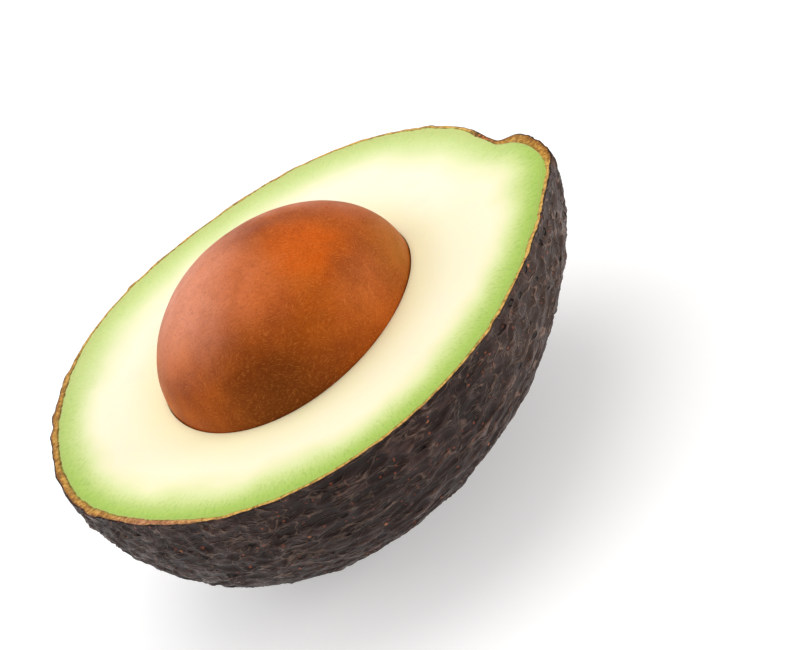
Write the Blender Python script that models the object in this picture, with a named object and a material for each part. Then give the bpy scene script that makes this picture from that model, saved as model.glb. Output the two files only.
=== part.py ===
# Half of an avocado, cut lengthwise, with its pit still in place.
# Metres, +Z up. The half lies on its back with the cut face level and looking up.
# X is the long axis, with the stem end at +X. The origin is under the middle of the outline, at the
# height of the small flat spot that the peel rests on.
import math

import bmesh
import bpy
from mathutils import Matrix, Vector, noise

# Outline of the whole fruit, as a sphere of directions stretched to a pear
HALF_LENGTH = 0.046
HALF_WIDTH = 0.03526
BACK_DEPTH = 0.03609
# Each of these is a polynomial in the direction's X, from -1 at the blossom end to +1 at the stem
WIDTH_TERMS = (1.0, -0.065, 0.0234, -0.0927, -0.2384)
DEPTH_TERMS = (1.0, -0.146, 0.1027)
BEND_TERMS = (0.00146, 0.00135, 0.00453)

# Dent in the shoulder beside the stem, where the peel is drawn in: a long slope, then a steep one on
# the stem's side. The line is the direction of the outline there, away from the stem.
DENT_PLACE = Vector((0.0433, 0.0101, 0.0))
DENT_LINE = Vector((0.065, 0.998, 0.0)).normalized()
DENT_DEPTH = 0.00235
DENT_REACH = 0.0086
DENT_REACH_AT_STEM = 0.0015
DENT_REACH_DOWN = 0.0045

# Dried scar where the stem was
SCAR_PLACE = Vector((0.0462, 0.0012, 0.0))
SCAR_RADIUS = 0.0066
SCAR_HEIGHT = 0.0001

# Peel: its wall, and the height of the cut face over the small flat spot that the half rests on
PEEL_AT_SIDES = 0.0012
PEEL_AT_ENDS = 0.0018
FACE_HEIGHT = 0.0357

# Pebbles on the peel
PEBBLE_SPACING = 0.0038
PEBBLE_HEIGHT = 0.00070
PEBBLE_EDGE = 0.62
WARP_SIZE = 0.011
WARP_REACH = 0.0016
SMOOTH_BAND = 0.0020
RELIEF_SEED = 11

# Pit: an ellipsoid, slightly narrower at one end, turned a little about Z
PIT_SEMI_AXES = Vector((0.02265, 0.01789, 0.01772))
PIT_PLACE = Vector((-0.0026, 0.00204, -0.00055))
PIT_TURN = math.radians(8.7)
PIT_TAPER = -0.0765

# Clearance between pieces that touch
GAP = 0.0003

# Edges along one side of each of the twenty triangles that a sphere starts from; even, so that an
# edge loop lies in the cut plane
PEEL_FREQUENCY = 30
FLESH_FREQUENCY = 14
PIT_FREQUENCY = 10

# On a unit sphere: how near the cut plane counts as on it, and the step that slopes are taken over
ON_PLANE = 1e-5
SLOPE_STEP = 0.001

SHARP_EDGE = math.radians(40)
PEEL_COLOR = (0.030, 0.020, 0.022)
FLESH_COLOR = (0.83, 0.86, 0.42)
SEED_COLOR = (0.25, 0.075, 0.022)


def clear_scene():
    for item in list(bpy.data.objects):
        bpy.data.objects.remove(item, do_unlink=True)


def make_collection(name):
    collection = bpy.data.collections.new(name)
    bpy.context.scene.collection.children.link(collection)
    return collection


def make_material(name, color, roughness):
    material = bpy.data.materials.new(name)
    material.use_nodes = True
    shader = material.node_tree.nodes["Principled BSDF"]
    shader.inputs["Base Color"].default_value = (*color, 1.0)
    shader.inputs["Roughness"].default_value = roughness
    shader.inputs["Metallic"].default_value = 0.0
    material.diffuse_color = (*color, 1.0)
    return material


def polynomial(terms, x):
    return sum(term * x ** power for power, term in enumerate(terms))


def fruit_point(direction):
    # A direction on the unit sphere, moved out to the fruit's smooth surface
    x = max(-1.0, min(1.0, direction.x))
    bend = math.sqrt(1.0 - x * x) * polynomial(BEND_TERMS, x)
    across = HALF_WIDTH * polynomial(WIDTH_TERMS, x) * direction.y
    down = BACK_DEPTH * polynomial(DEPTH_TERMS, x) * direction.z
    return Vector((HALF_LENGTH * x, bend + across, down))


def surface_normal(point_at, direction):
    side = direction.orthogonal().normalized() * SLOPE_STEP
    other = direction.cross(side).normalized() * SLOPE_STEP
    along = point_at((direction + side).normalized()) - point_at((direction - side).normalized())
    across = point_at((direction + other).normalized()) - point_at((direction - other).normalized())
    return along.cross(across).normalized()


def hump(point, place, radius):
    return math.exp(-((point - place).length / radius) ** 2)


def dent_hump(point):
    offset = point - DENT_PLACE
    along = offset.dot(DENT_LINE)
    aside = (offset - along * DENT_LINE).length
    reach = DENT_REACH if along > 0.0 else DENT_REACH_AT_STEM
    return math.exp(-(along / reach) ** 2 - (aside / DENT_REACH_DOWN) ** 2)


def shaped_point(direction):
    # The fruit's surface with the dent beside the stem and the low rise of the stem scar
    point = fruit_point(direction)
    normal = surface_normal(fruit_point, direction)
    dent = DENT_DEPTH * dent_hump(point)
    scar = SCAR_HEIGHT * hump(point, SCAR_PLACE, SCAR_RADIUS)
    return point + normal * (scar - dent)


def pebble_relief(point):
    # Rounded pebbles with creases between them, from the distance to the nearest scattered seed
    warp = noise.noise_vector(point / WARP_SIZE) * WARP_REACH
    nearest = noise.voronoi((point + warp) / PEBBLE_SPACING)[0][0]
    dome = 1.0 - min(1.0, nearest / PEBBLE_EDGE) ** 2
    calm = hump(point, SCAR_PLACE, SCAR_RADIUS)
    above_spot = (point.z + FACE_HEIGHT) / SMOOTH_BAND
    fade = min(1.0, max(0.0, above_spot)) * (1.0 - calm)
    return PEBBLE_HEIGHT * (dome - 0.5) * fade


def peel_wall(direction):
    return PEEL_AT_SIDES + (PEEL_AT_ENDS - PEEL_AT_SIDES) * direction.x ** 4


def level_normal(direction):
    # The normal of the shaped fruit, kept level on the cut plane so that the rim stays in it
    normal = surface_normal(shaped_point, direction)
    if abs(direction.z) < ON_PLANE:
        normal.z = 0.0
        normal.normalize()
    return normal


def outside_of_peel(direction):
    point = shaped_point(direction)
    moved = point + level_normal(direction) * pebble_relief(point)
    moved.z = max(moved.z, -FACE_HEIGHT)
    return moved


def inside_of_peel(clearance):
    def point_at(direction):
        depth = peel_wall(direction) + clearance
        moved = shaped_point(direction) - level_normal(direction) * depth
        moved.z = max(moved.z, depth - FACE_HEIGHT)
        return moved

    return point_at


def pit_surface(growth):
    turn = Matrix.Rotation(PIT_TURN, 3, "Z")
    reach = PIT_SEMI_AXES + Vector((growth, growth, growth))

    def point_at(direction):
        narrowing = 1.0 + PIT_TAPER * direction.x
        local = Vector((
            reach.x * direction.x,
            reach.y * direction.y * narrowing,
            reach.z * direction.z,
        ))
        return turn @ local + PIT_PLACE

    return point_at


def formed_sphere(name, frequency, point_at, lower_half, collection):
    # An icosahedron cut into even triangles, halved at the cut plane if asked, then formed
    form = bmesh.new()
    bmesh.ops.create_icosphere(form, subdivisions=1, radius=1.0)
    bmesh.ops.subdivide_edges(form, edges=form.edges[:], cuts=frequency - 1, use_grid_fill=True)
    for vertex in form.verts:
        vertex.co.normalize()
        if abs(vertex.co.z) < ON_PLANE:
            vertex.co.z = 0.0
    if lower_half:
        everything = form.verts[:] + form.edges[:] + form.faces[:]
        bmesh.ops.bisect_plane(
            form,
            geom=everything,
            dist=ON_PLANE,
            plane_co=(0, 0, 0),
            plane_no=(0, 0, 1),
            clear_outer=True,
        )
    for vertex in form.verts:
        vertex.co = point_at(vertex.co.normalized())
    if lower_half:
        rim = [edge for edge in form.edges if edge.is_boundary]
        bmesh.ops.edgeloop_fill(form, edges=rim)
    bmesh.ops.recalc_face_normals(form, faces=form.faces[:])
    mesh = bpy.data.meshes.new(name)
    form.to_mesh(mesh)
    form.free()
    item = bpy.data.objects.new(name, mesh)
    collection.objects.link(item)
    return item


def make_cutter(item):
    item.hide_render = True
    item.display_type = "WIRE"
    return item


def cut_away(item, cutter):
    cut = item.modifiers.new("cut by " + cutter.name, "BOOLEAN")
    cut.operation = "DIFFERENCE"
    cut.solver = "EXACT"
    cut.object = cutter


def finish_surface(item, material):
    item.data.materials.append(material)
    item.data.shade_smooth()
    item.data.set_sharp_from_angle(angle=SHARP_EDGE)


def build_skin(parts, cutters):
    skin = formed_sphere("skin", PEEL_FREQUENCY, outside_of_peel, True, parts)
    room = formed_sphere("room_in_skin", FLESH_FREQUENCY, inside_of_peel(0.0), False, cutters)
    cut_away(skin, make_cutter(room))
    finish_surface(skin, make_material("peel", PEEL_COLOR, 0.42))
    return skin, room


def build_flesh(parts, cutters):
    flesh = formed_sphere("flesh", FLESH_FREQUENCY, inside_of_peel(GAP), True, parts)
    socket = formed_sphere("pit_socket", PIT_FREQUENCY, pit_surface(GAP), False, cutters)
    cut_away(flesh, make_cutter(socket))
    finish_surface(flesh, make_material("flesh", FLESH_COLOR, 0.50))
    return flesh, socket


def build_pit(parts):
    pit = formed_sphere("pit", PIT_FREQUENCY, pit_surface(0.0), False, parts)
    finish_surface(pit, make_material("seed coat", SEED_COLOR, 0.38))
    return pit


def centre_offset(skin):
    # From the working frame, with Z = 0 in the cut face, to the resting frame
    xs = [vertex.co.x for vertex in skin.data.vertices]
    ys = [vertex.co.y for vertex in skin.data.vertices]
    return Vector((-(min(xs) + max(xs)) / 2, -(min(ys) + max(ys)) / 2, FACE_HEIGHT))


def build():
    clear_scene()
    noise.seed_set(RELIEF_SEED)
    parts = make_collection("avocado half")
    cutters = make_collection("cutters")
    skin, room = build_skin(parts, cutters)
    flesh, socket = build_flesh(parts, cutters)
    pit = build_pit(parts)
    offset = centre_offset(skin)
    for item in (skin, room, flesh, socket, pit):
        item.location = offset
    bpy.context.view_layer.update()


build()
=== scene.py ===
import math

import bmesh
import bpy
from mathutils import Matrix, Vector, kdtree, noise


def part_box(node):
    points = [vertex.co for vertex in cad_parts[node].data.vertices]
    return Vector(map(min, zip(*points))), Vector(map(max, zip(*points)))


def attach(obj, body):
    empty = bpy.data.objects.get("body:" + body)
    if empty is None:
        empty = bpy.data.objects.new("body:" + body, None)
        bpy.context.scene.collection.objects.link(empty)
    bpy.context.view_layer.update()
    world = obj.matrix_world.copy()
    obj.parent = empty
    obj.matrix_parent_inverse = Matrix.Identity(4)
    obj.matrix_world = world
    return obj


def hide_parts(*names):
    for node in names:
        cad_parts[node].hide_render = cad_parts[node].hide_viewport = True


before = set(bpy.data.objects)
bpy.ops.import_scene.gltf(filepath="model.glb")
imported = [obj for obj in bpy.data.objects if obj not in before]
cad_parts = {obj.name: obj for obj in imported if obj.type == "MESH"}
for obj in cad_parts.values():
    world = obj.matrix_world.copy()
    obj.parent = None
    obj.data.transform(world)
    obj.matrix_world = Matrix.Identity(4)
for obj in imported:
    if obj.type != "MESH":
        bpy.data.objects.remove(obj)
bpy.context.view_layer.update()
print("frame loaded:", ", ".join(sorted(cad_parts)))

reliefSeed = 11  # the relief is the same on every run
noise.seed_set(reliefSeed)
onPlane = 1e-5  # how near the cut plane, on a globe of radius 1, counts as on it

# The fruit's outline: a globe of directions stretched to a pear. X runs to the stem end, and the
# cut face is Z = 0 while a piece is being formed. Lengths are in metres.
fruit = {
    "halfLength": 0.046,
    "halfWidth": 0.03526,
    "backDepth": 0.03609,
    "widthTerms": (1.0, -0.065, 0.0234, -0.0927, -0.2384),
    "depthTerms": (1.0, -0.146, 0.1027),
    "bendTerms": (0.00146, 0.00135, 0.00453),
    "dentPlace": Vector((0.0433, 0.0101, 0.0)),
    "dentLine": Vector((0.065, 0.998, 0.0)).normalized(),  # across the dent, away from the stem
    "dentDepth": 0.00235,
    "dentReach": 0.0086,
    "dentReachAtStem": 0.0015,
    "dentReachDown": 0.0045,
    "scarPlace": Vector((0.0462, 0.0012, 0.0)),
    "scarRadius": 0.0066,
    "scarHeight": 0.0001,
    "wallAtSides": 0.0012,
    "wallAtEnds": 0.0018,
    "stemWall": 0.00060,  # the wall is thicker where the stem was, round this direction
    "stemWallAt": Vector((0.965, 0.26, 0.0)),
    "stemWallReach": 0.09,
    "dentWall": 0.00080,  # and thinner along the dent
    "faceHeight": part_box("skin")[1].z,
}


def clamp(value, low=0.0, high=1.0):
    return max(low, min(high, value))


def smoothStep(low, high, value):
    t = clamp((value - low) / (high - low))
    return t * t * (3.0 - 2.0 * t)


def polynomial(terms, x):
    return sum(term * x ** power for power, term in enumerate(terms))


def hump(point, place, reach):
    return math.exp(-((point - place).length / reach) ** 2)


def dentHump(point):
    offset = point - fruit["dentPlace"]
    along = offset.dot(fruit["dentLine"])
    aside = (offset - along * fruit["dentLine"]).length
    reach = fruit["dentReach"] if along > 0.0 else fruit["dentReachAtStem"]
    return math.exp(-(along / reach) ** 2 - (aside / fruit["dentReachDown"]) ** 2)


def slopeNormal(pointAt, direction):
    step = 0.001
    side = direction.orthogonal().normalized() * step
    other = direction.cross(side).normalized() * step
    along = pointAt((direction + side).normalized()) - pointAt((direction - side).normalized())
    across = pointAt((direction + other).normalized()) - pointAt((direction - other).normalized())
    return along.cross(across).normalized()


def fruitPoint(direction):
    x = clamp(direction.x, -1.0, 1.0)
    bend = math.sqrt(1.0 - x * x) * polynomial(fruit["bendTerms"], x)
    across = fruit["halfWidth"] * polynomial(fruit["widthTerms"], x) * direction.y
    down = fruit["backDepth"] * polynomial(fruit["depthTerms"], x) * direction.z
    return Vector((fruit["halfLength"] * x, bend + across, down))


def shapedPoint(direction):
    point = fruitPoint(direction)
    normal = slopeNormal(fruitPoint, direction)
    dent = fruit["dentDepth"] * dentHump(point)
    scar = fruit["scarHeight"] * hump(point, fruit["scarPlace"], fruit["scarRadius"])
    return point + normal * (scar - dent)


def insidePoint(direction, clearance):
    # a point on the inside of the peel's wall, or further in by the clearance
    wall = fruit["wallAtSides"] + (fruit["wallAtEnds"] - fruit["wallAtSides"]) * direction.x ** 4
    wall += fruit["stemWall"] * hump(direction, fruit["stemWallAt"], fruit["stemWallReach"])
    wall -= fruit["dentWall"] * dentHump(fruitPoint(direction)) ** 2
    depth = wall + clearance
    normal = slopeNormal(shapedPoint, direction)
    if abs(direction.z) < onPlane:
        normal.z = 0.0
        normal.normalize()
    point = shapedPoint(direction) - normal * depth
    point.z = max(point.z, depth - fruit["faceHeight"])
    return point


def tilted(around, elevation):
    # the level direction, turned down by the elevation
    level = math.cos(elevation)
    return Vector((around.x * level, around.y * level, -math.sin(elevation)))


def nextRing(form, edges, pointAt):
    # pulls a new ring of faces out of an open edge loop and places its new points
    made = bmesh.ops.extrude_edge_only(form, edges=edges)["geom"]
    for item in made:
        if isinstance(item, bmesh.types.BMVert):
            item.co = pointAt(item)
    return [item for item in made if isinstance(item, bmesh.types.BMEdge) and item.is_boundary]


def closeRing(form, edges):
    points = list({vertex for edge in edges for vertex in edge.verts})
    middle = sum((vertex.co for vertex in points), Vector()) / len(points)
    bmesh.ops.pointmerge(form, verts=points, merge_co=middle)


def globe(edgesPerSide, lowerHalf=False):
    # an icosahedron cut into even triangles; an edge loop of it lies in the cut plane
    form = bmesh.new()
    bmesh.ops.create_icosphere(form, subdivisions=1, radius=1.0)
    for cuts in (1, edgesPerSide // 2 - 1):
        bmesh.ops.subdivide_edges(form, edges=form.edges[:], cuts=cuts, use_grid_fill=True)
        for vertex in form.verts:
            vertex.co.normalize()
            if abs(vertex.co.z) < onPlane:
                vertex.co.z = 0.0
        if lowerHalf and cuts == 1:
            everything = form.verts[:] + form.edges[:] + form.faces[:]
            bmesh.ops.bisect_plane(
                form,
                geom=everything,
                dist=onPlane,
                plane_co=(0, 0, 0),
                plane_no=(0, 0, 1),
                clear_outer=True,
            )
    return form


def finishPiece(form, name, material, node, sharpAngle=40):
    bmesh.ops.recalc_face_normals(form, faces=form.faces[:])
    bmesh.ops.translate(form, verts=form.verts[:], vec=fruitMiddle)
    mesh = bpy.data.meshes.new(name)
    form.to_mesh(mesh)
    form.free()
    mesh.materials.append(material)
    mesh.shade_smooth()
    mesh.set_sharp_from_angle(angle=math.radians(sharpAngle))
    piece = bpy.data.objects.new(name, mesh)
    bpy.context.scene.collection.objects.link(piece)
    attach(piece, "root")
    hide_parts(node)
    print(name, "made,", len(mesh.polygons), "faces")
    return piece


# Pit: an ellipsoid, slightly narrower at one end, turned a little about Z
pit = {
    "semiAxes": Vector((0.02265, 0.01789, 0.01772)),
    "place": Vector((-0.0026, 0.00204, -0.00055)),
    "turn": math.radians(8.7),
    "taper": -0.0765,
    "edges": 60,
    "waveSize": 0.011,
    "waveHeight": 0.00020,
    "dimpleSize": 0.0032,
    "dimpleHeight": 0.00004,
    "socketGap": 0.00003,
    # broad tints, some the seed coat's own and some painted light: place on the pit and reach in
    # millimetres, share of the reach that has the full tint, strength, colour
    "tints": (
        ((-13, 4, 14), 17, 0.05, 0.80, (230, 150, 120)),  # painted highlight: a pale pink sheen over the blossom end
        ((-5, -5, 15), 11, 0.10, 0.50, (210, 105, 50)),  # rusty middle
        ((10, 0, 12), 13, 0.10, 0.55, (170, 80, 25)),  # brown shoulder
        ((5, -3, 15), 8, 0.30, 0.65, (210, 90, 5)),  # orange crown
        ((18, -3, 3), 10, 0.05, 0.65, (165, 100, 15)),  # dull end towards the stem
        ((-10, -15, 1), 16, 0.15, 0.80, (105, 50, 5)),  # dark foot: partly the coat's own darker brown, partly painted shade on the low side
    ),
}


def pitPoint(direction, growth=0.0):
    reach = pit["semiAxes"] + Vector((growth, growth, growth))
    narrowing = 1.0 + pit["taper"] * direction.x
    local = Vector((reach.x * direction.x, reach.y * direction.y * narrowing, reach.z * direction.z))
    return Matrix.Rotation(pit["turn"], 3, "Z") @ local + pit["place"]


def boxMiddle(points):
    low = Vector(min(point[axis] for point in points) for axis in range(3))
    high = Vector(max(point[axis] for point in points) for axis in range(3))
    return (low + high) / 2


def findFruitMiddle():
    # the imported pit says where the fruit's own middle lies in the frame
    form = globe(10)
    formed = boxMiddle([pitPoint(vertex.co) for vertex in form.verts])
    form.free()
    return boxMiddle(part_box("pit")) - formed


fruitMiddle = findFruitMiddle()
print("fruit's middle in the frame:", [round(value * 1000, 3) for value in fruitMiddle], "mm")


# Shader helpers
def newMaterial(name):
    material = bpy.data.materials.new(name)
    material.use_nodes = True
    tree = material.node_tree
    return material, tree, tree.nodes["Principled BSDF"]


def addNode(tree, kind, **settings):
    made = tree.nodes.new(kind)
    for key, value in settings.items():
        setattr(made, key, value)
    return made


def wire(tree, source, target):
    tree.links.new(source, target)


def feed(tree, socket, value):
    # a number, a colour or another node's output goes into the socket
    if isinstance(value, bpy.types.NodeSocket):
        tree.links.new(value, socket)
    else:
        socket.default_value = value


def calc(tree, operation, a, b=0.0, c=0.0):
    made = addNode(tree, "ShaderNodeMath", operation=operation)
    for socket, value in zip(made.inputs, (a, b, c)):
        feed(tree, socket, value)
    return made.outputs[0]


def spread(tree, value, low, high, toLow=0.0, toHigh=1.0):
    made = addNode(tree, "ShaderNodeMapRange", interpolation_type="SMOOTHSTEP")
    for socket, item in zip(made.inputs, (value, low, high, toLow, toHigh)):
        feed(tree, socket, item)
    return made.outputs[0]


def mixColors(tree, factor, first, second, blend="MIX"):
    made = addNode(tree, "ShaderNodeMix", data_type="RGBA", blend_type=blend)
    feed(tree, made.inputs[0], factor)
    feed(tree, made.inputs[6], first)
    feed(tree, made.inputs[7], second)
    return made.outputs[2]


def rampColors(tree, value, stops):
    made = addNode(tree, "ShaderNodeValToRGB")
    ramp = made.color_ramp
    while len(ramp.elements) < len(stops):
        ramp.elements.new(0.5)
    for element, (position, color) in zip(ramp.elements, stops):
        element.position = position
        element.color = color
    feed(tree, made.inputs[0], value)
    return made.outputs[0]


def noiseMask(tree, place, size, detail=3.0, roughness=0.5):
    # size is the pattern's size in metres
    made = addNode(tree, "ShaderNodeTexNoise")
    feed(tree, made.inputs["Vector"], place)
    made.inputs["Scale"].default_value = 1.0 / size
    made.inputs["Detail"].default_value = detail
    made.inputs["Roughness"].default_value = roughness
    return made.outputs["Fac"]


def stretch(tree, place, scale):
    # the place with each axis scaled, so that a pattern runs longer along the small ones
    made = addNode(tree, "ShaderNodeVectorMath", operation="MULTIPLY")
    feed(tree, made.inputs[0], place)
    made.inputs[1].default_value = scale
    return made.outputs[0]


def nearPlace(tree, place, center, reach, core=0.25):
    # 1 within the core share of the reach, fading to 0 at the reach
    made = addNode(tree, "ShaderNodeVectorMath", operation="DISTANCE")
    feed(tree, made.inputs[0], place)
    made.inputs[1].default_value = center
    return spread(tree, made.outputs["Value"], reach * core, reach, 1.0, 0.0)


def attributeValue(tree, name):
    return addNode(tree, "ShaderNodeAttribute", attribute_name=name).outputs["Fac"]


def bumpNormal(tree, height, distance, strength=1.0):
    made = addNode(tree, "ShaderNodeBump")
    made.inputs["Strength"].default_value = strength
    made.inputs["Distance"].default_value = distance
    feed(tree, made.inputs["Height"], height)
    return made.outputs["Normal"]


def srgb(red, green, blue):
    # 0 to 255 values as seen on a screen, as a linear colour
    def linear(value):
        value /= 255.0
        return value / 12.92 if value <= 0.04045 else ((value + 0.055) / 1.055) ** 2.4

    return (linear(red), linear(green), linear(blue), 1.0)


def makeFlecks():
    # group: small scattered spots on some of the cells of a pattern
    tree = bpy.data.node_groups.new("scattered flecks", "ShaderNodeTree")
    for name, kind, value in (
        ("Vector", "NodeSocketVector", None),
        ("Scale", "NodeSocketFloat", 400.0),
        ("Radius", "NodeSocketFloat", 0.15),
        ("Share", "NodeSocketFloat", 0.4),
    ):
        socket = tree.interface.new_socket(name, in_out="INPUT", socket_type=kind)
        if value is not None:
            socket.default_value = value
    tree.interface.new_socket("Mask", in_out="OUTPUT", socket_type="NodeSocketFloat")
    entry = tree.nodes.new("NodeGroupInput")
    leave = tree.nodes.new("NodeGroupOutput")
    cells = addNode(tree, "ShaderNodeTexVoronoi", feature="F1")
    wire(tree, entry.outputs["Vector"], cells.inputs["Vector"])
    wire(tree, entry.outputs["Scale"], cells.inputs["Scale"])
    pick = addNode(tree, "ShaderNodeSeparateColor")
    wire(tree, cells.outputs["Color"], pick.inputs[0])
    chosen = calc(tree, "LESS_THAN", pick.outputs[0], entry.outputs["Share"])
    size = calc(tree, "MULTIPLY_ADD", pick.outputs[1], 0.7, 0.5)
    radius = calc(tree, "MULTIPLY", size, entry.outputs["Radius"])
    inner = calc(tree, "MULTIPLY", radius, 0.5)
    spot = spread(tree, cells.outputs["Distance"], inner, radius, 1.0, 0.0)
    wire(tree, calc(tree, "MULTIPLY", spot, chosen), leave.inputs["Mask"])
    return tree


flecksGroup = makeFlecks()


def wander(tree, place, size, reach):
    # the place pushed about by up to half the reach, so that a pattern on it isn't regular
    made = addNode(tree, "ShaderNodeTexNoise")
    feed(tree, made.inputs["Vector"], place)
    made.inputs["Scale"].default_value = 1.0 / size
    made.inputs["Detail"].default_value = 3.0
    shift = addNode(tree, "ShaderNodeVectorMath", operation="MULTIPLY_ADD")
    wire(tree, made.outputs["Color"], shift.inputs[0])
    shift.inputs[1].default_value = (2 * reach, 2 * reach, 2 * reach)
    shift.inputs[2].default_value = (-reach, -reach, -reach)
    moved = addNode(tree, "ShaderNodeVectorMath", operation="ADD")
    feed(tree, moved.inputs[0], place)
    wire(tree, shift.outputs[0], moved.inputs[1])
    return moved.outputs[0]


def wrinkleLines(tree, place, size, width):
    # thin wandering lines, where a pattern passes its middle value
    level = noiseMask(tree, place, size, 1.0, 0.5)
    away = calc(tree, "ABSOLUTE", calc(tree, "SUBTRACT", level, 0.5))
    return spread(tree, away, 0.0, width, 1.0, 0.0)


def flecks(tree, place, spacing, radius, share):
    made = addNode(tree, "ShaderNodeGroup", node_tree=flecksGroup)
    feed(tree, made.inputs["Vector"], place)
    made.inputs["Scale"].default_value = 1.0 / spacing
    made.inputs["Radius"].default_value = radius
    made.inputs["Share"].default_value = share
    return made.outputs["Mask"]


# Peel
peel = {
    "edges": 116,
    "stretch": 0.62,  # the relief is longer along the fruit than across it
    "pebbleSpacing": 0.0027,
    "pebbleHeight": 0.00036,
    "pebbleEdge": 0.70,
    "warpSize": 0.0060,
    "warpReach": 0.0014,
    "rollSize": 0.010,
    "rollHeight": 0.00022,
    "wrinkleSize": 0.0023,
    "wrinkleStretch": 0.36,
    "wrinkleHeight": 0.00040,
    "grainSize": 0.0008,
    "grainHeight": 0.00005,
    "corkSizes": ((0.0016, 0.00022), (0.0006, 0.00015)),  # on the scar: size, height
    "knobs": (  # place in metres, reach, height
        (Vector((-0.0408, 0.0190, 0.0)), 0.0013, 0.00040),
        (Vector((-0.0426, 0.0150, 0.0)), 0.0012, 0.00035),
        (Vector((-0.0452, 0.0060, 0.0)), 0.0015, 0.00025),
    ),
    "smoothBand": 0.0022,
    "calmAtRim": 0.0026,  # how far down from the cut edge the finer relief is lower
    # rings across the cut edge: share of its width, height
    "rimSteps": (
        (0.08, -0.00001),
        (0.20, 0.00004),
        (0.35, 0.00006),
        (0.50, 0.00005),
        (0.66, 0.00003),
        (0.82, 0.00001),
        (1.0, -0.00004),
    ),
    "rimGrainSize": 0.0012,
    "rimGrainHeight": 0.00005,
    "rimOverhang": 0.00003,  # how far the cut edge reaches in over the flesh
    "lipDrop": 0.00012,  # the outer corner of the cut edge is rounded down by this
    "wallElevations": (1, 3, 6, 10, 15, 21, 28, 36, 44, 52, 60, 68, 76, 83),
}


def peelRelief(point):
    # pebbles with creases between them, long wrinkles and a slow roll: 0 to 1 for colour, then metres
    stretched = Vector((point.x * peel["stretch"], point.y, point.z))
    warp = noise.noise_vector(stretched / peel["warpSize"]) * peel["warpReach"]
    distances, seeds = noise.voronoi((stretched + warp) / peel["pebbleSpacing"])
    dome = 1.0 - min(1.0, distances[0] / peel["pebbleEdge"]) ** 2
    crease = smoothStep(0.0, 0.30, distances[1] - distances[0])
    ownHeight = 0.35 + 0.65 * noise.cell(seeds[0] * 3.7)
    pebble = (0.55 * dome + 0.45 * crease) * ownHeight
    long = Vector((point.x * peel["wrinkleStretch"], point.y, point.z)) + warp * 0.7
    wrinkle = 1.0 - min(1.0, 3.2 * abs(noise.noise(long / peel["wrinkleSize"])))
    roll = noise.noise(point / peel["rollSize"])
    grain = noise.noise(point / peel["grainSize"])
    rise = peel["pebbleHeight"] * (pebble - 0.40) + peel["rollHeight"] * 0.5 * roll
    finer = peel["wrinkleHeight"] * (wrinkle - 0.45) + peel["grainHeight"] * grain
    rise += finer * (0.30 + 0.70 * smoothStep(0.0, peel["calmAtRim"], -point.z))
    rise += sum(height * hump(point, place, reach) for place, reach, height in peel["knobs"])
    return clamp(0.62 * pebble + 0.38 * wrinkle), rise


def paleSide(around):
    # the green under the peel is paler on one side of the fruit
    return smoothStep(-0.05, 0.45, around.y) * (0.55 + 0.45 * smoothStep(-0.92, -0.75, around.x))


def buildPeelMesh():
    form = globe(peel["edges"], lowerHalf=True)
    around = form.verts.layers.float_vector.new("around")
    lip = form.verts.layers.float_vector.new("lip")
    rim = form.verts.layers.float.new("rim")
    crest = form.verts.layers.float.new("crest")
    scar = form.verts.layers.float.new("scar")
    wide = form.verts.layers.float.new("wide")
    torn = form.verts.layers.float.new("torn")
    pale = form.verts.layers.float.new("pale")
    for vertex in form.verts:
        vertex[around] = vertex.co
        vertex.co = shapedPoint(vertex.co)
    form.normal_update()
    for vertex in form.verts:
        normal = vertex.normal.copy()
        if abs(vertex[around].z) < onPlane:
            normal.z = 0.0
            normal.normalize()
        place = vertex.co.copy()
        scarHere = smoothStep(0.50, 0.72, hump(place, fruit["scarPlace"], fruit["scarRadius"]))
        height, rise = peelRelief(place)
        cork = sum(high * noise.noise(place / size) for size, high in peel["corkSizes"])
        rise = rise + (cork - rise) * scarHere
        flat = smoothStep(0.0, 1.0, (place.z + fruit["faceHeight"]) / peel["smoothBand"])
        vertex.co = place + normal * rise * flat
        vertex.co.z = max(vertex.co.z, -fruit["faceHeight"])
        vertex[crest] = height
        vertex[scar] = scarHere
        away = (place - fruit["dentPlace"]).dot(fruit["dentLine"])
        vertex[torn] = smoothStep(0.20, 0.55, dentHump(place)) * smoothStep(-0.0015, 0.0005, away)
        blossomEnd = smoothStep(-0.58, -0.84, vertex[around].x)
        stemEnd = smoothStep(0.88, 0.91, vertex[around].x) * smoothStep(-0.30, -0.05, vertex[around].y)
        vertex[wide] = max(blossomEnd, 1.35 * stemEnd) * (1.0 - vertex[torn])
        vertex[pale] = paleSide(vertex[around])
    edge = [item for item in form.edges if item.is_boundary]
    for vertex in {vertex for item in edge for vertex in item.verts}:
        vertex[lip] = vertex.co
        vertex.co.z -= peel["lipDrop"]
    for share, height in peel["rimSteps"]:
        def acrossRim(vertex, share=share, height=height):
            inner = insidePoint(vertex[around], peel["rimOverhang"])
            vertex[rim] = share
            place = vertex[lip].lerp(inner, share)
            grain = noise.noise(place / peel["rimGrainSize"]) if share < 1.0 else 0.0
            place.z = height + peel["rimGrainHeight"] * grain
            return place
        edge = nextRing(form, edge, acrossRim)
    for degrees in peel["wallElevations"]:
        def downInside(vertex, degrees=degrees):
            return insidePoint(tilted(vertex[around], math.radians(degrees)), 0.0)
        edge = nextRing(form, edge, downInside)
    closeRing(form, edge)
    return form


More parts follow.
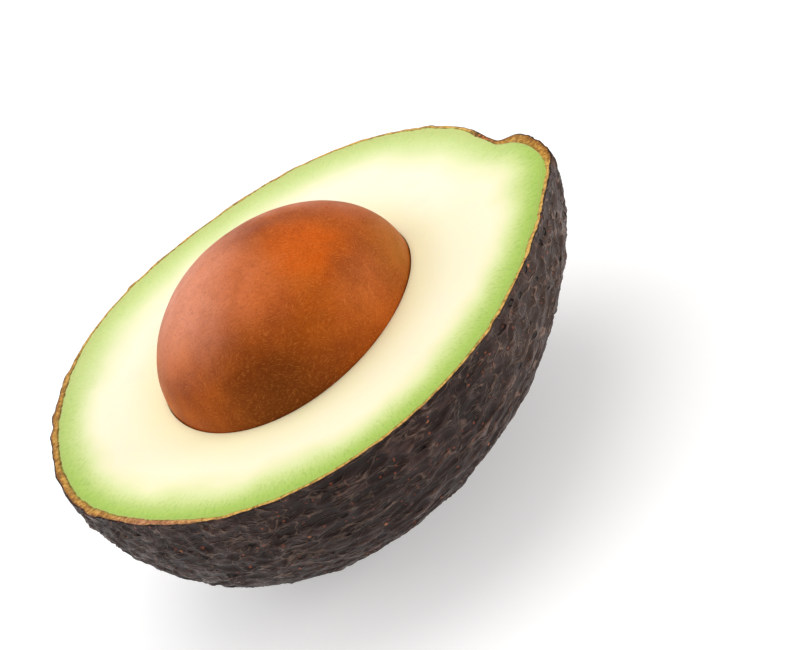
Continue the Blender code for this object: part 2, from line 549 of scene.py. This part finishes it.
def peelMaterial():
    material, tree, shader = newMaterial("avocado peel")
    place = addNode(tree, "ShaderNodeTexCoord").outputs["Object"]
    stretched = stretch(tree, place, (0.42, 1.0, 1.0))
    crest = attributeValue(tree, "crest")
    rim = attributeValue(tree, "rim")
    scar = attributeValue(tree, "scar")
    wide = attributeValue(tree, "wide")
    torn = attributeValue(tree, "torn")
    broad = noiseMask(tree, place, 0.016, 3.0)
    patchy = noiseMask(tree, place, 0.0040, 4.0, 0.6)
    wrinkled = noiseMask(tree, stretched, 0.0021, 3.0, 0.5)
    fine = noiseMask(tree, place, 0.0006, 3.0, 0.6)
    # the peel's dark brown, darker in the low places of the relief and paler on its crests: painted
    # shade and painted highlight
    outside = rampColors(tree, crest, (
        (0.10, srgb(20, 9, 8)),
        (0.36, srgb(41, 25, 22)),
        (0.60, srgb(62, 42, 37)),
        (0.82, srgb(88, 64, 56)),
    ))
    drawn = stretch(tree, wander(tree, place, 0.0050, 0.0012), (0.26, 1.0, 1.0))
    lines = wrinkleLines(tree, drawn, 0.0030, 0.034)
    lesserLines = wrinkleLines(tree, drawn, 0.0016, 0.044)
    ridges = calc(tree, "MAXIMUM", lines, calc(tree, "MULTIPLY", lesserLines, 0.6))
    ridges = calc(tree, "MULTIPLY", ridges, spread(tree, patchy, 0.36, 0.56, 0.25, 1.0))
    pits = flecks(tree, stretched, 0.0021, 0.28, 0.55)
    outside = mixColors(tree, spread(tree, broad, 0.42, 0.62, 0.0, 0.5), outside, srgb(40, 25, 23))
    # paler on the raised parts of the wrinkles: painted highlight
    paintedWrinkleHighlight = calc(tree, "MULTIPLY", spread(tree, wrinkled, 0.54, 0.70), 0.22)
    outside = mixColors(tree, paintedWrinkleHighlight, outside, srgb(104, 78, 70))
    # darker in the hollows between the wrinkles: painted shade
    paintedHollowShade = calc(tree, "MULTIPLY", spread(tree, wrinkled, 0.50, 0.36), 0.55)
    outside = mixColors(tree, paintedHollowShade, outside, srgb(22, 11, 10))
    # paler and browner towards the stem end, with more of the pale ridge lines: painted highlight on
    # that side of the fruit
    nearStem = nearPlace(tree, place, fruitMiddle + Vector((0.038, -0.020, -0.010)), 0.030, 0.35)
    outside = mixColors(tree, calc(tree, "MULTIPLY", nearStem, 0.28), outside, srgb(84, 64, 54))
    # pale lines along the ridges: painted highlight, as glints on the ridge crests, more of them
    # towards the stem end
    ridgeHighlightShare = calc(tree, "MULTIPLY_ADD", nearStem, 0.26, 0.40)
    outside = mixColors(tree, calc(tree, "MULTIPLY", ridges, ridgeHighlightShare), outside, srgb(146, 119, 104))
    # near black in the pits, which the bump also sinks: painted shade in the recesses
    outside = mixColors(tree, calc(tree, "MULTIPLY", pits, 0.90), outside, srgb(10, 4, 3))
    freckled = spread(tree, patchy, 0.40, 0.60, 0.30, 1.0)
    small = calc(tree, "MULTIPLY", flecks(tree, place, 0.0011, 0.28, 0.45), freckled)
    outside = mixColors(tree, calc(tree, "MULTIPLY", small, 0.75), outside, srgb(150, 78, 52))
    large = flecks(tree, place, 0.0034, 0.11, 0.30)
    outside = mixColors(tree, calc(tree, "MULTIPLY", large, 0.75), outside, srgb(184, 112, 72))
    corky = mixColors(tree, spread(tree, wrinkled, 0.40, 0.60), srgb(44, 27, 20), srgb(98, 68, 48))
    outside = mixColors(tree, scar, outside, corky)

    # cut edge: a thin dark line, a golden band with a ragged inner border, then green
    ragged = calc(tree, "MULTIPLY_ADD", fine, 0.34, -0.17)
    slow = calc(tree, "MULTIPLY_ADD", patchy, 0.50, -0.25)
    shifted = calc(tree, "ADD", rim, calc(tree, "ADD", ragged, slow))
    goldEnd = calc(tree, "MULTIPLY_ADD", wide, 0.34, 0.50)
    goldEnd = calc(tree, "MULTIPLY_ADD", torn, 0.20, goldEnd)
    along = calc(tree, "DIVIDE", shifted, goldEnd)
    gold = rampColors(tree, along, (
        (0.00, srgb(84, 50, 24)),
        (0.28, srgb(166, 112, 48)),
        (0.60, srgb(204, 150, 66)),
        (0.85, srgb(188, 146, 66)),
        (1.0, srgb(150, 138, 62)),
    ))
    brighter = calc(tree, "MULTIPLY_ADD", wide, -0.60, 0.60)
    gold = mixColors(tree, brighter, gold, srgb(238, 194, 102))
    rosyPlace = fruitMiddle + Vector((-0.037, -0.019, 0.0))
    rosy = calc(tree, "MULTIPLY", nearPlace(tree, place, rosyPlace, 0.013), wide)
    gold = mixColors(tree, calc(tree, "MULTIPLY", rosy, 0.75), gold, srgb(190, 128, 100))
    blotchy = noiseMask(tree, place, 0.0016, 3.0, 0.6)
    burntShare = calc(tree, "MULTIPLY_ADD", wide, 0.25, 0.35)
    burnt = calc(tree, "MULTIPLY", spread(tree, blotchy, 0.46, 0.62), burntShare)
    gold = mixColors(tree, burnt, gold, srgb(146, 98, 42))
    grit = calc(tree, "MULTIPLY", spread(tree, fine, 0.50, 0.40), 0.55)
    gold = mixColors(tree, grit, gold, srgb(116, 74, 34))
    glint = calc(tree, "MULTIPLY", spread(tree, fine, 0.54, 0.64), 0.40)
    gold = mixColors(tree, glint, gold, srgb(236, 190, 116))
    tornColor = mixColors(tree, spread(tree, fine, 0.52, 0.60), srgb(56, 26, 14), srgb(208, 104, 56))
    gold = mixColors(tree, calc(tree, "MULTIPLY", torn, 0.85), gold, tornColor)
    green = mixColors(tree, attributeValue(tree, "pale"), srgb(160, 190, 84), srgb(198, 212, 128))
    cut = mixColors(tree, spread(tree, along, 0.90, 1.12), gold, green)
    edgeLine = calc(tree, "MULTIPLY", patchy, 0.22)
    onCut = spread(tree, rim, edgeLine, calc(tree, "ADD", edgeLine, 0.05))
    wire(tree, mixColors(tree, onCut, outside, cut), shader.inputs["Base Color"])

    raised = calc(tree, "MULTIPLY_ADD", ridges, 0.3, crest)
    rough = spread(tree, raised, 0.25, 0.85, 0.46, 0.26)
    rough = calc(tree, "MULTIPLY_ADD", spread(tree, rim, 0.0, 0.1), 0.14, rough)
    wire(tree, calc(tree, "MULTIPLY_ADD", scar, 0.3, rough), shader.inputs["Roughness"])
    grain = calc(tree, "MULTIPLY_ADD", fine, 0.04, calc(tree, "MULTIPLY", wrinkled, 0.90))
    grain = calc(tree, "MULTIPLY_ADD", ridges, 0.42, grain)
    onSkin = spread(tree, rim, 0.0, 0.1, 1.0, 0.0)
    grain = calc(tree, "MULTIPLY_ADD", calc(tree, "MULTIPLY", pits, onSkin), -0.8, grain)
    onGreen = spread(tree, along, 0.80, 1.05)
    keptOnCut = calc(tree, "MULTIPLY_ADD", onGreen, -0.40, 0.55)
    keptShare = calc(tree, "MULTIPLY_ADD", onSkin, 0.45, keptOnCut)
    calmed = calc(tree, "MULTIPLY", grain, keptShare)
    wire(tree, bumpNormal(tree, calmed, 0.00090, 1.0), shader.inputs["Normal"])
    shader.inputs["Specular IOR Level"].default_value = 0.22
    shader.inputs["Specular Tint"].default_value = (1.0, 0.84, 0.78, 1.0)
    return material


# Flesh
flesh = {
    "segments": 480,
    "tuck": 0.00010,  # how far the face's edge runs in under the cut edge of the peel
    "wallElevations": (2, 6, 12, 19, 27, 35, 43, 51, 59, 67, 75, 83),
    "socketElevations": (-1, -4, -9, -15, -22, -30, -38, -46, -54, -62, -70, -78, -84),
    "faceRings": 64,
    "edgeDrop": 0.00010,
    "edgeReach": 0.00006,
    "lipDrop": 0.00006,
    "lipReach": 0.00035,
    "wallClearance": 0.00005,
    "deepInside": 0.02,  # the depth under the peel that the hollow's wall is coloured for
    "calmAtPeel": 0.006,
    "calmAtPit": 0.003,
    "swellHeight": 0.00022,
    "swellSize": 0.012,
}


def socketDirection(point, elevation):
    # the pit's direction that lies on the same side of the pit as this point
    local = Matrix.Rotation(-pit["turn"], 3, "Z") @ (point - pit["place"])
    turn = math.atan2(local.y / pit["semiAxes"].y, local.x / pit["semiAxes"].x)
    level = math.cos(elevation)
    return Vector((math.cos(turn) * level, math.sin(turn) * level, math.sin(elevation)))


def nearness(points):
    tree = kdtree.KDTree(len(points))
    for index, point in enumerate(points):
        tree.insert(point, index)
    tree.balance()
    return tree


def buildFleshMesh():
    form = bmesh.new()
    bmesh.ops.create_circle(form, segments=flesh["segments"], radius=1.0)
    around = form.verts.layers.float_vector.new("around")
    outline = form.verts.layers.float_vector.new("outline")
    fromPeel = form.verts.layers.float.new("fromPeel")
    fromPit = form.verts.layers.float.new("fromPit")
    pale = form.verts.layers.float.new("pale")
    for vertex in form.verts:
        vertex[around] = vertex.co.normalized()
        vertex.co = insidePoint(vertex[around], -flesh["tuck"])
        vertex[outline] = vertex.co
        vertex[pale] = paleSide(vertex[around])
    edge = form.edges[:]
    edgeElevation = math.asin(-pit["place"].z / pit["semiAxes"].z)

    def socketPoint(vertex, elevation):
        return pitPoint(socketDirection(vertex[outline], elevation), pit["socketGap"])

    peelPoints = nearness([vertex[outline] for vertex in form.verts])
    pitPoints = nearness([socketPoint(vertex, edgeElevation) for vertex in form.verts])
    for ring in range(1, flesh["faceRings"] + 1):
        share = ring / flesh["faceRings"]
        eased = share - 0.5 * math.sin(2 * math.pi * share) / (2 * math.pi)

        def acrossFace(vertex, eased=eased):
            level = vertex[outline].lerp(socketPoint(vertex, edgeElevation), eased)
            level.z = 0.0
            toPeel = peelPoints.find(level)[2]
            toPit = pitPoints.find(level)[2]
            swell = noise.noise(level / flesh["swellSize"])
            swell *= smoothStep(0.0, flesh["calmAtPeel"], toPeel)
            level.z = flesh["swellHeight"] * swell * smoothStep(0.0, flesh["calmAtPit"], toPit)
            level.z -= flesh["edgeDrop"] * math.exp(-toPeel / flesh["edgeReach"])
            level.z -= flesh["lipDrop"] * math.exp(-toPit / flesh["lipReach"])
            vertex[fromPeel] = toPeel
            vertex[fromPit] = toPit
            return level
        edge = nextRing(form, edge, acrossFace)
    for degrees in flesh["socketElevations"]:
        def downSocket(vertex, degrees=degrees):
            vertex[fromPeel] = flesh["deepInside"]
            return socketPoint(vertex, math.radians(degrees))
        edge = nextRing(form, edge, downSocket)
    closeRing(form, edge)
    edge = [item for item in form.edges if item.is_boundary]
    for degrees in flesh["wallElevations"]:
        def downWall(vertex, degrees=degrees):
            direction = tilted(vertex[around], math.radians(degrees))
            return insidePoint(direction, flesh["wallClearance"])
        edge = nextRing(form, edge, downWall)
    closeRing(form, edge)
    return form


def fleshMaterial():
    material, tree, shader = newMaterial("avocado flesh")
    place = addNode(tree, "ShaderNodeTexCoord").outputs["Object"]
    toPeel = attributeValue(tree, "fromPeel")
    toPit = attributeValue(tree, "fromPit")
    pale = attributeValue(tree, "pale")
    broad = noiseMask(tree, place, 0.014, 3.0)
    patchy = noiseMask(tree, place, 0.004, 4.0, 0.55)
    fine = noiseMask(tree, place, 0.0005, 3.0, 0.65)

    # fibres run square to the peel: their pattern is read from the outline and the depth under it
    outline = addNode(tree, "ShaderNodeAttribute", attribute_name="outline").outputs["Vector"]
    lift = addNode(tree, "ShaderNodeCombineXYZ")
    wire(tree, calc(tree, "MULTIPLY", toPeel, 0.36), lift.inputs[2])
    along = addNode(tree, "ShaderNodeVectorMath", operation="ADD")
    wire(tree, outline, along.inputs[0])
    wire(tree, lift.outputs[0], along.inputs[1])
    fibres = noiseMask(tree, along.outputs[0], 0.00034, 2.0, 0.5)

    width = spread(tree, broad, 0.3, 0.7, 0.84, 1.18)
    depth = calc(tree, "MULTIPLY", toPeel, calc(tree, "DIVIDE", 1.0 / 0.010, width))
    nearPeel = spread(tree, depth, 0.65, 0.10)
    ragged = calc(tree, "ADD", calc(tree, "MULTIPLY_ADD", fibres, 0.20, -0.10),
                   calc(tree, "MULTIPLY_ADD", fine, 0.20, -0.10))
    depth = calc(tree, "ADD", depth, calc(tree, "MULTIPLY", ragged, nearPeel))
    strong = rampColors(tree, depth, (
        (0.00, srgb(166, 194, 88)),
        (0.09, srgb(172, 202, 94)),
        (0.20, srgb(186, 209, 114)),
        (0.34, srgb(208, 223, 144)),
        (0.48, srgb(228, 235, 174)),
        (0.62, srgb(243, 240, 196)),
        (0.80, srgb(252, 245, 212)),
    ))
    light = rampColors(tree, depth, (
        (0.00, srgb(198, 212, 128)),
        (0.14, srgb(202, 220, 138)),
        (0.27, srgb(214, 229, 156)),
        (0.40, srgb(228, 236, 176)),
        (0.52, srgb(240, 242, 196)),
        (0.70, srgb(251, 248, 212)),
        (0.90, srgb(254, 250, 222)),
    ))
    color = mixColors(tree, pale, strong, light)
    fading = spread(tree, depth, 0.60, 0.05, 0.0, calc(tree, "MULTIPLY_ADD", pale, -0.42, 0.62))
    strokes = calc(tree, "MULTIPLY", spread(tree, fibres, 0.50, 0.66), fading)
    color = mixColors(tree, strokes, color, srgb(142, 182, 74))
    deepIn = spread(tree, toPeel, 0.005, 0.010, 0.0, 0.45)
    peachy = calc(tree, "MULTIPLY", spread(tree, patchy, 0.5, 0.7), deepIn)
    color = mixColors(tree, peachy, color, srgb(253, 242, 216))
    besidePit = spread(tree, toPit, 0.0, 0.0080, 0.52, 0.0)
    color = mixColors(tree, besidePit, color, srgb(249, 234, 176))
    wire(tree, color, shader.inputs["Base Color"])
    wire(tree, spread(tree, patchy, 0.3, 0.7, 0.46, 0.58), shader.inputs["Roughness"])
    grain = calc(tree, "MULTIPLY_ADD", fine, 0.4, calc(tree, "MULTIPLY", fibres, nearPeel))
    wire(tree, bumpNormal(tree, grain, 0.00009, 0.5), shader.inputs["Normal"])
    shader.inputs["Specular IOR Level"].default_value = 0.25
    shader.inputs["Subsurface Weight"].default_value = 0.15
    shader.inputs["Subsurface Radius"].default_value = (0.0024, 0.0022, 0.0012)
    shader.inputs["Subsurface Scale"].default_value = 1.0
    return material


def buildPitMesh():
    form = globe(pit["edges"])
    around = form.verts.layers.float_vector.new("around")
    for vertex in form.verts:
        vertex[around] = vertex.co
        vertex.co = pitPoint(vertex.co)
    form.normal_update()
    for vertex in form.verts:
        wave = noise.noise(vertex.co / pit["waveSize"]) * pit["waveHeight"]
        dimple = noise.noise(vertex.co / pit["dimpleSize"]) * pit["dimpleHeight"]
        vertex.co += vertex.normal * (wave + dimple - 0.5 * pit["waveHeight"])
    return form


def pitMaterial():
    material, tree, shader = newMaterial("avocado seed coat")
    place = addNode(tree, "ShaderNodeTexCoord").outputs["Object"]
    broad = noiseMask(tree, place, 0.010, 3.0, 0.55)
    patchy = noiseMask(tree, place, 0.0030, 5.0, 0.62)
    turned = stretch(tree, wander(tree, place, 0.006, 0.003), (0.36, 1.0, 1.0))
    fine = noiseMask(tree, turned, 0.00022, 3.0, 0.65)
    color = rampColors(tree, broad, (
        (0.32, srgb(146, 62, 8)),
        (0.50, srgb(172, 80, 14)),
        (0.68, srgb(192, 94, 22)),
    ))
    warped = wander(tree, place, 0.006, 0.0032)
    for center, reach, core, strength, tint in pit["tints"]:
        onPit = fruitMiddle + Vector(center) / 1000.0
        mask = nearPlace(tree, warped, onPit, reach / 1000.0, core)
        color = mixColors(tree, calc(tree, "MULTIPLY", mask, strength), color, srgb(*tint))
    streaks = calc(tree, "MULTIPLY", spread(tree, patchy, 0.46, 0.66), 0.14)
    color = mixColors(tree, streaks, color, srgb(120, 50, 8))
    dark = calc(tree, "MULTIPLY", spread(tree, fine, 0.50, 0.34), 0.26)
    color = mixColors(tree, dark, color, srgb(96, 38, 8))
    paleFibres = calc(tree, "MULTIPLY", spread(tree, fine, 0.50, 0.70), 0.24)
    color = mixColors(tree, paleFibres, color, srgb(226, 144, 70))
    specks = calc(tree, "MULTIPLY", flecks(tree, place, 0.0014, 0.08, 0.35), 0.12)
    color = mixColors(tree, specks, color, srgb(232, 168, 112))
    wire(tree, color, shader.inputs["Base Color"])
    wire(tree, spread(tree, patchy, 0.3, 0.7, 0.42, 0.54), shader.inputs["Roughness"])
    grain = calc(tree, "MULTIPLY_ADD", fine, 0.6, patchy)
    wire(tree, bumpNormal(tree, grain, 0.00007, 0.5), shader.inputs["Normal"])
    shader.inputs["Specular IOR Level"].default_value = 0.16
    shader.inputs["Specular Tint"].default_value = (1.0, 0.76, 0.52, 1.0)
    return material


# Camera: the photograph's own view of the cut face, so it is rolled about its line of sight
cameraSetup = {
    "lens": 200.0,
    "sensor": 36.0,
    "azimuth": math.radians(-5.46),
    "elevation": math.radians(38.4),
    "roll": math.radians(-32.7),
    "distance": 0.6964,
    "faceLeft": 0.01514,  # how far left and up of the picture's middle the fruit's middle lies
    "faceUp": 0.00051,
}


def makeCamera():
    azimuth, elevation = cameraSetup["azimuth"], cameraSetup["elevation"]
    back = Vector((
        math.sin(azimuth) * math.cos(elevation),
        -math.cos(azimuth) * math.cos(elevation),
        math.sin(elevation),
    ))
    right = Vector((math.cos(azimuth), math.sin(azimuth), 0.0))
    upward = back.cross(right)
    level = Matrix((right, upward, back)).transposed()
    turned = level @ Matrix.Rotation(cameraSetup["roll"], 3, "Z")
    data = bpy.data.cameras.new("camera")
    data.lens = cameraSetup["lens"]
    data.sensor_width = cameraSetup["sensor"]
    data.clip_start, data.clip_end = 0.01, 20.0
    camera = bpy.data.objects.new("camera", data)
    aim = turned @ Vector((cameraSetup["faceLeft"], -cameraSetup["faceUp"], cameraSetup["distance"]))
    camera.matrix_world = Matrix.Translation(fruitMiddle + aim) @ turned.to_4x4()
    bpy.context.scene.collection.objects.link(camera)
    bpy.context.scene.camera = camera
    return turned


cameraAxes = makeCamera()

# Studio: a pale floor and large soft lights, placed as seen from the camera
studio = {
    "floorSize": 6.0,
    "floorColor": (0.72, 0.72, 0.72, 1.0),
    "floorGlow": 0.40,  # the floor is a pale sheet lit from under, so shadows on it stay light
    "skyBright": 0.74,  # on the left, as seen from the camera
    "skyDim": 0.12,  # on the right
    "skyEdge": 0.7,  # the share of the way to each side where it is reached
    "lights": (
        # name, direction in the picture (right, up, towards the viewer), distance, size, power, colour
        ("key", (-0.50, 0.80, 0.42), 1.2, 1.00, 5.6, (1.0, 0.99, 0.975)),
        ("left", (-1.0, 0.20, 0.15), 0.9, 0.80, 2.0, (1.0, 0.995, 0.99)),
        ("right", (1.0, 0.60, 0.40), 0.9, 0.40, 3.8, (1.0, 0.95, 0.91)),
    ),
}


def makeStudio():
    form = bmesh.new()
    bmesh.ops.create_grid(form, x_segments=1, y_segments=1, size=studio["floorSize"] / 2)
    mesh = bpy.data.meshes.new("floor")
    form.to_mesh(mesh)
    form.free()
    floor = bpy.data.objects.new("floor", mesh)
    bpy.context.scene.collection.objects.link(floor)
    material, tree, shader = newMaterial("pale floor")
    shader.inputs["Base Color"].default_value = studio["floorColor"]
    shader.inputs["Roughness"].default_value = 0.9
    shader.inputs["Specular IOR Level"].default_value = 0.1
    shader.inputs["Emission Color"].default_value = (1.0, 1.0, 1.0, 1.0)
    shader.inputs["Emission Strength"].default_value = studio["floorGlow"]
    mesh.materials.append(material)
    world = bpy.data.worlds.new("studio")
    world.use_nodes = True
    sky = world.node_tree
    toward = addNode(sky, "ShaderNodeVectorMath", operation="DOT_PRODUCT")
    wire(sky, addNode(sky, "ShaderNodeTexCoord").outputs["Generated"], toward.inputs[0])
    toward.inputs[1].default_value = cameraAxes @ Vector((-1.0, 0.35, 0.0)).normalized()
    edge = studio["skyEdge"]
    strength = spread(sky, toward.outputs["Value"], -edge, edge, studio["skyDim"], studio["skyBright"])
    wire(sky, strength, sky.nodes["Background"].inputs["Strength"])
    sky.nodes["Background"].inputs["Color"].default_value = (1.0, 1.0, 1.0, 1.0)
    bpy.context.scene.world = world
    for name, direction, distance, size, power, color in studio["lights"]:
        data = bpy.data.lights.new(name, "AREA")
        data.shape = "DISK"
        data.size = size
        data.energy = power
        data.color = color
        light = bpy.data.objects.new(name, data)
        toLight = (cameraAxes @ Vector(direction)).normalized()
        light.location = fruitMiddle + toLight * distance
        light.rotation_mode = "QUATERNION"
        light.rotation_quaternion = toLight.to_track_quat("Z", "Y")
        bpy.context.scene.collection.objects.link(light)
    bpy.context.scene.view_settings.view_transform = "Standard"


makeStudio()
print("camera and studio made")

finishPiece(buildPeelMesh(), "peel", peelMaterial(), "skin", sharpAngle=60)
finishPiece(buildFleshMesh(), "flesh_with_hollow", fleshMaterial(), "flesh")
finishPiece(buildPitMesh(), "seed", pitMaterial(), "pit", sharpAngle=180)
